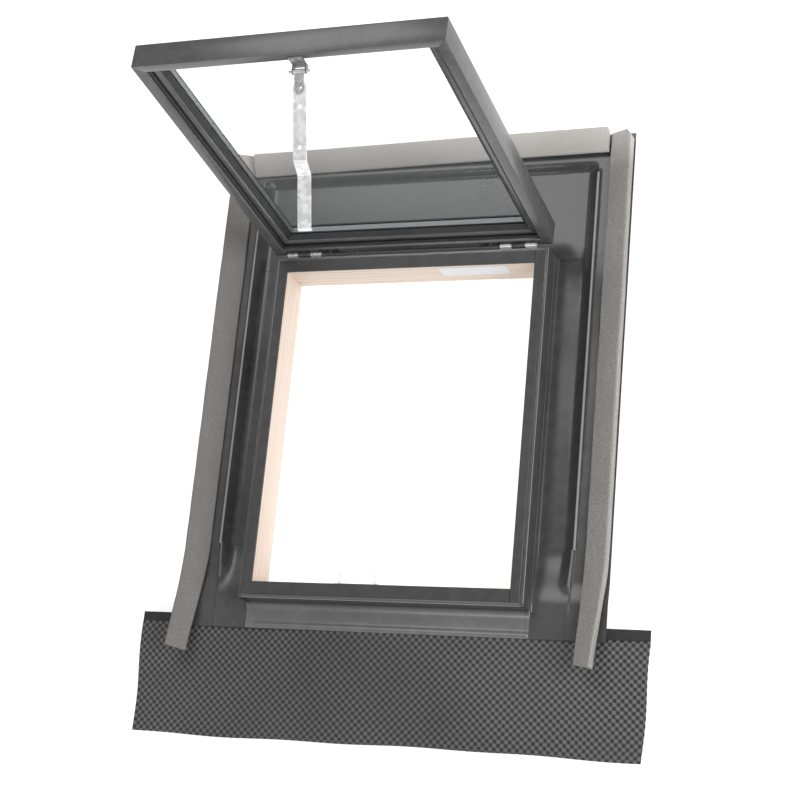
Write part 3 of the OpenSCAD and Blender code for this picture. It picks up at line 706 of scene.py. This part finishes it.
# %% [markdown]
# ## The apron
#
# The apron is a mat that is dressed down over the tiles, embossed all over with small diamonds.
# The emboss is a rule, so Geometry Nodes make it: a fine grid whose points rise by the product
# of two waves, which sets raised and sunk spots like a chessboard. The mat also lies in slow
# waves of its own.

# %% The emboss as a node tree
PITCH = 5.7 * MM
mat_low, mat_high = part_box("apron")
hem_low, hem_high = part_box("apron_hem")


class Tree:
    """A Geometry Nodes tree with named inputs, and formulas written as Value sums."""

    def __init__(self, name, inputs):
        self.tree = bpy.data.node_groups.new(name, "GeometryNodeTree")
        face = self.tree.interface
        face.new_socket("Geometry", in_out="INPUT", socket_type="NodeSocketGeometry")
        self.ids = {}
        for label, kind in inputs:
            made = face.new_socket(label, in_out="INPUT", socket_type="NodeSocket" + kind)
            self.ids[label] = made.identifier
        face.new_socket("Geometry", in_out="OUTPUT", socket_type="NodeSocketGeometry")
        self.entry = self.tree.nodes.new("NodeGroupInput")
        self.exit = self.tree.nodes.new("NodeGroupOutput")

    feed = Paint.feed
    node = Paint.node

    def __getitem__(self, label):
        return Value(self, self.entry.outputs[label])

    def end(self, geometry, material):
        real = self.node("GeometryNodeRealizeInstances", {}, geometry)
        done = self.node("GeometryNodeSetMaterial", {}, real, Material=material)
        self.tree.links.new(done.socket, self.exit.inputs[0])
        return self.tree


def grown(tree, name, values):
    """Runs a tree on an empty mesh and returns the result as a plain mesh."""
    holder = bpy.data.objects.new(name, bpy.data.meshes.new(name))
    bpy.context.scene.collection.objects.link(holder)
    made = holder.modifiers.new("grow", "NODES")
    made.node_group = tree.tree
    for label, value in values.items():
        made[tree.ids[label]] = value
    view = bpy.context.evaluated_depsgraph_get()
    result = bpy.data.meshes.new_from_object(holder.evaluated_get(view))
    bpy.data.objects.remove(holder)
    return result


def embossed():
    p = Paint("embossed_mat")
    x, y, z = p.axes()
    wave = (x * (math.pi / PITCH)).sin() * (y * (math.pi / PITCH)).sin()
    raised = (wave * 1.2 + 0.45).clamp()
    # Painted shade: the raised spots are darker in the middle of the mat and lighter towards its sides.
    sides = (x.abs() * 2.6).clamp()
    rub = p.noise(7, 4)
    low = p.mix(rub, linear(28, 28, 29), linear(42, 42, 43))
    high = p.mix((rub * 0.9 + sides * 0.3 - 0.1).clamp(), linear(70, 70, 71), linear(108, 108, 109))
    return p.set(Base_Color=p.mix(raised, low, high), Roughness=0.52 - raised * 0.18,
                 Normal=p.bump(p.noise(900, 2), 0.00005)).material


mat_finish, hem_finish = embossed(), rubber("hem_finish", 30, 0.6)
mat_tree = Tree("embossed mat", [("Width", "Float"), ("Length", "Float"), ("Across", "Int"),
                                 ("Along", "Int"), ("Pitch", "Float"), ("Height", "Float"),
                                 ("Top", "Vector"), ("Finish", "Material")])
grid = mat_tree.node("GeometryNodeMeshGrid", {}, mat_tree["Width"], mat_tree["Length"],
                     mat_tree["Across"], mat_tree["Along"])
set_down = mat_tree.node("GeometryNodeTransform", {}, grid, Translation=mat_tree["Top"])
spot = mat_tree.node("ShaderNodeSeparateXYZ", {}, mat_tree.node("GeometryNodeInputPosition", {}))
gx, gy = spot, Value(mat_tree, spot.socket.node.outputs[1])
turns = mat_tree["Pitch"] ** -1 * math.pi
diamonds = (gx * turns).sin() * (gy * turns).sin()
slow = (gx * 11 + 1.1).sin() * (gy * 16 + 0.7).sin() * 0.0016 + (gx * 23 - gy * 9).sin() * 0.0009
lift = mat_tree.node("ShaderNodeCombineXYZ", {}, 0.0, 0.0, diamonds * mat_tree["Height"] + slow)
raised_grid = mat_tree.node("GeometryNodeSetPosition", {}, set_down, Offset=lift)
mat_tree.end(raised_grid, mat_tree["Finish"])

# %% The mat and its plain hem
size = mat_high - mat_low
GRID = 2.0 * MM
flat_mat = grown(mat_tree, "mat", {"Width": size.x, "Length": size.y,
                                   "Across": int(size.x / GRID), "Along": int(size.y / GRID),
                                   "Pitch": PITCH, "Height": 0.75 * MM,
                                   "Top": [0.0, (mat_low.y + mat_high.y) / 2, mat_high.z - 1.5 * MM],
                                   "Finish": mat_finish})

# Away from its upper edge the mat sags, narrows a little and wanders at its lower edge.
for v in flat_mat.vertices:
    down = (mat_high.y - v.co.y) / size.y
    narrow = 1 - 0.012 * down
    v.co.z -= 3.0 * MM * ease(down * 1.4)
    v.co.y += down * (1.6 * MM * math.sin(v.co.x * 9 + 0.6) + 0.8 * MM * math.sin(v.co.x * 31))
    v.co.x = v.co.x * narrow + 1.2 * MM * math.sin(v.co.y * 40) * (abs(v.co.x) / size.x * 2) ** 4
flat_mat = applied(flat_mat, ("SOLIDIFY", {"thickness": 1.2 * MM, "offset": -1.0}))
finish_piece(flat_mat, "apron_mat", mat_finish, "base", ["apron"], 70)

hem_ys = (hem_low.y - 1 * MM, (hem_low.y + hem_high.y) / 2, hem_high.y)
hem_rows = [[(x, y, hem_high.z - 0.6 * MM - abs(x) * 0.004 + 0.7 * MM * math.sin(x * 21)) for y in hem_ys]
            for x in np.linspace(hem_low.x, hem_high.x, 60)]
hem_mesh = rows_mesh(hem_rows)
hem_mesh.update()
if hem_mesh.polygons[0].normal.z < 0:
    hem_mesh.flip_normals()
hem_band = applied(hem_mesh, ("SOLIDIFY", {"thickness": 1.4 * MM, "offset": 0.0}))
finish_piece(hem_band, "apron_hem_band", hem_finish, "base", ["apron_hem"])

# %% [markdown]
# ## Boards and profiles
#
# Sawn boards and drawn profiles never have perfectly sharp edges, and the thin bright line that
# light makes on an eased edge is most of what tells the eye that a thing is real. These pieces
# are copies of the CAD shapes with their loose triangles merged and their edges bevelled.

# %% Eased copies of the CAD pieces
def eased(node, name, material, body, width):
    mesh = frame["nodes"][node].data.copy()
    work = bmesh.new()
    work.from_mesh(mesh)
    bmesh.ops.remove_doubles(work, verts=work.verts, dist=2e-6)
    bmesh.ops.dissolve_limit(work, angle_limit=math.radians(0.6), verts=work.verts, edges=work.edges)
    work.to_mesh(mesh)
    work.free()
    mesh = applied(mesh, ("BEVEL", {"width": width, "segments": 2, "limit_method": "ANGLE",
                                    "angle_limit": math.radians(35), "use_clamp_overlap": True}))
    return finish_piece(mesh, name, material, body, [node], 40)


boards = {"stile_left": pine_long, "stile_right": pine_long, "head": pine_cross, "sill": pine_cross}
for word, material in boards.items():
    eased(f"frame_{word}", f"board_{word}", material, "base", 0.6 * MM)
for word in ("rail_head", "rail_foot", "stile_left", "stile_right"):
    eased(f"sash_{word}", f"profile_{word}", profile_coat, "sash", 0.35 * MM)

# %% [markdown]
# ## Finishes on the carried-over pieces
#
# The rest of the CAD model already has the right shape, so each node only gets its finish.

# %% Finishes for CAD nodes
finishes = {
    rim_rubber: ["frame_seal"],
    black_rubber: ["sash_seal", "glazing_gasket_inner", "glazing_gasket_outer", "setting_blocks"],
    spacer_metal: ["glazing_spacer"],
    pane_glass: ["pane_inner", "pane_outer"],
    plate_metal: ["blank_plate"],
    stay_zinc: ["stay_bar"],
    dull_zinc: ["catch_plate", "corner_keys", "frame_screws", "stay_bracket"],
    dark_zinc: ["hinge_sash_leaves"],
    peg_metal: ["catch_pegs"],
    bright_zinc: ["hinge_frame_leaves", "catch_screws", "hinge_frame_screws", "hinge_pins",
                  "hinge_sash_screws", "bracket_screws", "stay_pin", "stay_leaf", "stay_rivet"],
}
for material, nodes in finishes.items():
    for node in nodes:
        mesh = frame["nodes"][node].data
        mesh.materials.clear()
        mesh.materials.append(material)
print("finished CAD nodes:", sum(len(n) for n in finishes.values()))

# %% Floor
bpy.ops.mesh.primitive_plane_add(size=14, location=(0, 0, -0.002))
floor = bpy.context.object
floor.name = "studio_floor"
floor_paint = Paint("pale_floor")
floor_paint.set(Base_Color=(0.9, 0.9, 0.9, 1), Roughness=0.8, Emission_Color=(1, 1, 1, 1),
                Emission_Strength=0.52)
floor.data.materials.append(floor_paint.material)
